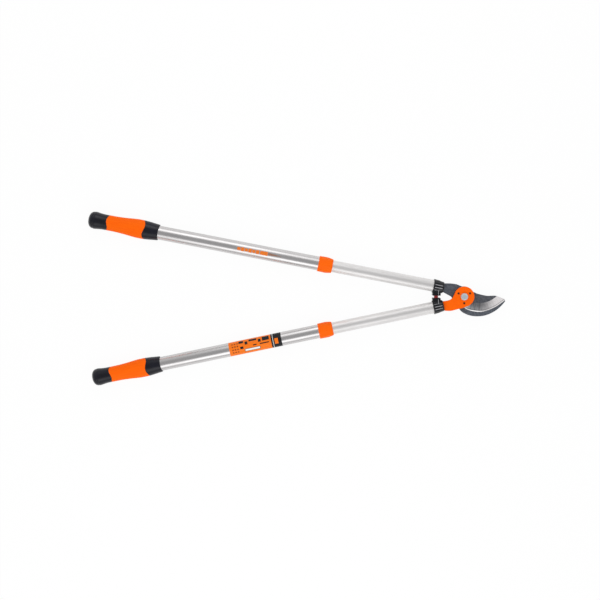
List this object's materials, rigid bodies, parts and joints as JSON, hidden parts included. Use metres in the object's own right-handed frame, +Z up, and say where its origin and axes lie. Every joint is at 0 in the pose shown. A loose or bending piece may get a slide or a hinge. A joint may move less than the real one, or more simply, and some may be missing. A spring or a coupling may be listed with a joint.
{
  "type": "telescopic bypass lopper",
  "caption": "Long-handled pruning lopper: a curved ground blade passes a hook on a pivot bolt, with telescopic tube handles, twist locks and soft grips.",
  "frame": {"origin": "on the pivot axis, at the flat underside of the pivot nut, which is the level the tool rests on when it lies flat", "axes": "+X along the centre line towards the blade's tip, +Y towards the handle that carries the hook, +Z up, out of the face with the pivot bolt's head"},
  "size_m": [0.8896, 0.3748, 0.0368],
  "materials": {
    "orange_paint": "satin",
    "orange_plastic": "satin",
    "black_rubber": "matte",
    "black_plastic": "gloss",
    "red_rubber": "matte",
    "coated_steel": "satin",
    "ground_steel": "ground",
    "zinc": "zinc plated",
    "dark_steel": "dark",
    "aluminium": "drawn and polished",
    "nylon": "matte"
  },
  "bodies": {
    "hook_side": {"hook_plate": "coated_steel", "pivot_bolt": "zinc", "pivot_washer": "zinc", "pivot_nut": "zinc", "upper_ferrule": "black_plastic", "bumper": "red_rubber", "upper_tang_pin": "zinc", "upper_inner_tube": "aluminium", "upper_guide_bush": "nylon"},
    "blade_side": {"cutting_blade": "ground_steel", "blade_arm": "orange_paint", "blade_rivet_1": "dark_steel", "blade_rivet_2": "dark_steel", "blade_rivet_3": "dark_steel", "lower_ferrule": "black_plastic", "lower_tang_pin": "zinc", "lower_inner_tube": "aluminium", "lower_guide_bush": "nylon"},
    "upper_grip_tube": {"upper_outer_tube": "aluminium", "upper_collet": "nylon", "upper_tube_plug": "black_plastic", "upper_grip_front": "black_rubber", "upper_grip_body": "orange_plastic", "upper_grip_end": "black_rubber"},
    "lower_grip_tube": {"lower_outer_tube": "aluminium", "lower_collet": "nylon", "lower_tube_plug": "black_plastic", "lower_grip_front": "black_rubber", "lower_grip_body": "orange_plastic", "lower_grip_end": "black_rubber"},
    "upper_collar": {"upper_lock_collar": "orange_plastic"},
    "lower_collar": {"lower_lock_collar": "orange_plastic"}
  },
  "joints": [
    {"name": "jaw_pivot", "type": "hinge", "parent": "hook_side", "child": "blade_side", "pos_m": [0, 0, 0.0184], "axis": [0, 0, 1], "range_deg": [0, 50]},
    {"name": "upper_handle_slide", "type": "slide", "parent": "hook_side", "child": "upper_grip_tube", "axis": [0.9803, -0.1977, 0], "range_m": [0, 0.213]},
    {"name": "lower_handle_slide", "type": "slide", "parent": "blade_side", "child": "lower_grip_tube", "axis": [0.9803, 0.1977, 0], "range_m": [0, 0.213]},
    {"name": "upper_collar_twist", "type": "hinge", "parent": "upper_grip_tube", "child": "upper_collar", "pos_m": [-0.29605, 0.06978, 0.0184], "axis": [-0.9803, 0.1977, 0], "range_deg": [0, 90]},
    {"name": "lower_collar_twist", "type": "hinge", "parent": "lower_grip_tube", "child": "lower_collar", "pos_m": [-0.29605, -0.06978, 0.0184], "axis": [-0.9803, -0.1977, 0], "range_deg": [0, 90]}
  ]
}
